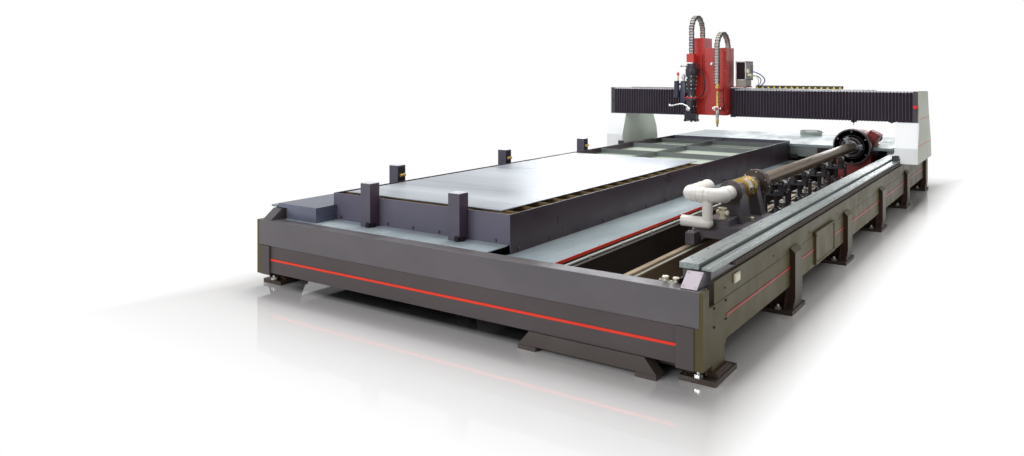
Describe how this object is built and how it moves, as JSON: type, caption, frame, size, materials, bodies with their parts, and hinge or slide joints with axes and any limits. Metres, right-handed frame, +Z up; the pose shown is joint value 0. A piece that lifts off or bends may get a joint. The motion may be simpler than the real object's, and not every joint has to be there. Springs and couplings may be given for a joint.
{
  "type": "cnc plasma table",
  "caption": "Gantry cutting table with a slatted sheet bed, a chuck and tail stock for round tube, a bevel plasma head and an oxygen torch.",
  "frame": {"origin": "on the floor, in the middle of the machine's length and width", "axes": "+X across the table to the right as seen from the front, +Y from the front to the rear, +Z up"},
  "size_m": [4.096, 9, 2.4501],
  "materials": {
    "frame_paint": "satin",
    "side_paint": "satin",
    "red_trim": "satin",
    "leg_paint": "satin",
    "plate_paint": "satin",
    "beam_paint": "satin",
    "rail_steel": "brushed",
    "rack_steel": "oiled",
    "foot_steel": "matte",
    "screw_zinc": "zinc plated",
    "skid_paint": "matte",
    "bed_paint": "satin",
    "bearer_steel": "matte",
    "slat_steel": "mill",
    "tray_steel": "matte",
    "sheet_steel": "mill",
    "post_paint": "satin",
    "deck_steel": "gloss",
    "duct_paint": "satin",
    "bracket_paint": "satin",
    "pit_steel": "matte",
    "pit_rail_steel": "ground",
    "headstock_paint": "satin",
    "chuck_steel": "machined",
    "jaw_steel": "ground",
    "tube_steel": "mill",
    "tail_paint": "satin",
    "ring_steel": "machined",
    "gland_brass": "polished",
    "pipe_paint": "gloss",
    "support_paint": "satin",
    "cradle_steel": "satin",
    "roller_steel": "ground",
    "gantry_paint": "satin",
    "leg_steel": "satin",
    "cover_paint": "satin",
    "truck_steel": "satin",
    "motor_paint": "satin",
    "pinion_steel": "ground",
    "linear_steel": "ground",
    "bellows_fabric": "coated",
    "chain_plastic": "matte",
    "button_plastic": "gloss",
    "bellows_frame_paint": "satin",
    "carriage_paint": "satin",
    "column_paint": "satin",
    "drive_paint": "satin",
    "slide_paint": "satin",
    "head_paint": "satin",
    "torch_brass": "worn",
    "oxy_slide_paint": "satin",
    "oxy_brass": "satin",
    "loop_plastic": "matte"
  },
  "bodies": {
    "table": {"end_beams": "frame_paint", "skirt_panels": "side_paint", "red_stripes": "red_trim", "side_legs": "leg_paint", "blank_plate": "plate_paint", "side_beams": "beam_paint", "guide_rails": "rail_steel", "gear_racks": "rack_steel", "foot_plates": "foot_steel", "levelling_screws": "screw_zinc", "lifting_skid": "skid_paint", "bed_walls": "bed_paint", "bed_bearers": "bearer_steel", "slats": "slat_steel", "slag_trays": "tray_steel", "steel_sheet": "sheet_steel", "guide_posts": "post_paint", "deck_plates": "deck_steel", "deck_brackets": "bracket_paint", "fume_duct": "duct_paint", "pit_trough": "pit_steel", "pit_rails": "pit_rail_steel", "headstock": "headstock_paint", "support_bases": "support_paint"},
    "chuck": {"chuck_body": "chuck_steel", "steel_tube": "tube_steel"},
    "jaw_a": {"jaw_1": "jaw_steel"},
    "jaw_b": {"jaw_2": "jaw_steel"},
    "jaw_c": {"jaw_3": "jaw_steel"},
    "tail": {"tailstock": "tail_paint", "swivel_gland": "gland_brass", "fume_pipe": "pipe_paint"},
    "tail_ring": {"tail_ring": "ring_steel"},
    "supports": {"support_cradles": "cradle_steel"},
    "rollers_l": {"rollers_left": "roller_steel"},
    "rollers_r": {"rollers_right": "roller_steel"},
    "gantry": {"gantry_beam": "gantry_paint", "gantry_legs": "leg_steel", "leg_covers": "cover_paint", "gantry_trucks": "truck_steel", "travel_motors": "motor_paint", "beam_rails": "linear_steel", "bellows_left": "bellows_fabric", "bellows_right": "bellows_fabric", "beam_chain": "chain_plastic"},
    "pinion_l": {"pinion_left": "pinion_steel"},
    "pinion_r": {"pinion_right": "pinion_steel"},
    "button": {"stop_button": "button_plastic"},
    "carriage": {"bellows_frames": "bellows_frame_paint", "carriage_plate": "carriage_paint", "head_columns": "column_paint", "drive_box": "drive_paint"},
    "carriage_gear": {"carriage_pinion": "pinion_steel"},
    "plasma_lift": {"plasma_slide": "slide_paint", "chain_loop_left": "loop_plastic"},
    "bevel": {"bevel_head": "head_paint"},
    "torch": {"plasma_torch": "torch_brass"},
    "oxy_lift": {"oxy_slide": "oxy_slide_paint", "oxy_torch": "oxy_brass", "chain_loop_right": "loop_plastic"}
  },
  "joints": [
    {"name": "gantry_travel", "type": "slide", "parent": "table", "child": "gantry", "axis": [0, 1, 0], "range_m": [-5.6, 0.55]},
    {"name": "carriage_travel", "type": "slide", "parent": "gantry", "child": "carriage", "axis": [1, 0, 0], "range_m": [-0.9, 1.6], "deforming": ["bellows_left", "bellows_right", "beam_chain"]},
    {"name": "plasma_lift", "type": "slide", "parent": "carriage", "child": "plasma_lift", "axis": [0, 0, 1], "range_m": [-0.26, 0.05], "deforming": ["chain_loop_left"]},
    {"name": "oxy_lift", "type": "slide", "parent": "carriage", "child": "oxy_lift", "axis": [0, 0, 1], "range_m": [-0.21, 0.05], "deforming": ["chain_loop_right"]},
    {"name": "bevel_turn", "type": "hinge", "parent": "plasma_lift", "child": "bevel", "pos_m": [-0.65, 1.6, 1.6], "axis": [0, 0, 1], "range_deg": [-180, 180]},
    {"name": "torch_tilt", "type": "hinge", "parent": "bevel", "child": "torch", "pos_m": [-0.65, 1.6, 1.192], "axis": [0, 1, 0], "range_deg": [-45, 45]},
    {"name": "chuck_spin", "type": "hinge", "parent": "table", "child": "chuck", "pos_m": [1.183, 2.58, 0.702], "axis": [0, 1, 0], "continuous": true},
    {"name": "jaw_1_slide", "type": "slide", "parent": "chuck", "child": "jaw_a", "axis": [1, 0, 0], "range_m": [0, 0.04]},
    {"name": "jaw_2_slide", "type": "slide", "parent": "chuck", "child": "jaw_b", "axis": [-0.5, 0, -0.866], "range_m": [0, 0.04]},
    {"name": "jaw_3_slide", "type": "slide", "parent": "chuck", "child": "jaw_c", "axis": [-0.5, 0, 0.866], "range_m": [0, 0.04]},
    {"name": "tailstock_slide", "type": "slide", "parent": "table", "child": "tail", "axis": [0, 1, 0], "range_m": [-0.9, 0]},
    {"name": "tail_ring_spin", "type": "hinge", "parent": "tail", "child": "tail_ring", "pos_m": [1.183, -1.495, 0.702], "axis": [0, 1, 0], "continuous": true},
    {"name": "supports_lift", "type": "slide", "parent": "table", "child": "supports", "axis": [0, 0, 1], "range_m": [-0.12, 0]},
    {"name": "rollers_left_spin", "type": "hinge", "parent": "supports", "child": "rollers_l", "pos_m": [1.12464, -0.86, 0.6273], "axis": [0, 1, 0], "continuous": true},
    {"name": "rollers_right_spin", "type": "hinge", "parent": "supports", "child": "rollers_r", "pos_m": [1.24137, -0.86, 0.6273], "axis": [0, 1, 0], "continuous": true},
    {"name": "pinion_left_spin", "type": "hinge", "parent": "gantry", "child": "pinion_l", "pos_m": [-1.916, 2.475, 0.6], "axis": [0, 0, 1], "continuous": true},
    {"name": "pinion_right_spin", "type": "hinge", "parent": "gantry", "child": "pinion_r", "pos_m": [1.916, 2.475, 0.6], "axis": [0, 0, 1], "continuous": true},
    {"name": "carriage_pinion_spin", "type": "hinge", "parent": "carriage", "child": "carriage_gear", "pos_m": [-0.096, 2.1335, 1.45], "axis": [0, 0, 1], "continuous": true},
    {"name": "button_press", "type": "slide", "parent": "gantry", "child": "button", "axis": [0, 1, 0], "range_m": [0, 0.006], "stiffness_N_per_m": 1200, "springref_m": -0.002}
  ],
  "couplings": [
    {"joint": "jaw_2_slide", "follows": "jaw_1_slide", "ratio": 1},
    {"joint": "jaw_3_slide", "follows": "jaw_1_slide", "ratio": 1},
    {"joint": "tail_ring_spin", "follows": "chuck_spin", "ratio": 1},
    {"joint": "rollers_left_spin", "follows": "chuck_spin", "ratio": -1.7794},
    {"joint": "rollers_right_spin", "follows": "chuck_spin", "ratio": -1.7794},
    {"joint": "pinion_right_spin", "follows": "gantry_travel", "rad_per_m": 13.889},
    {"joint": "pinion_left_spin", "follows": "gantry_travel", "rad_per_m": -13.889},
    {"joint": "carriage_pinion_spin", "follows": "carriage_travel", "rad_per_m": -18.518}
  ]
}
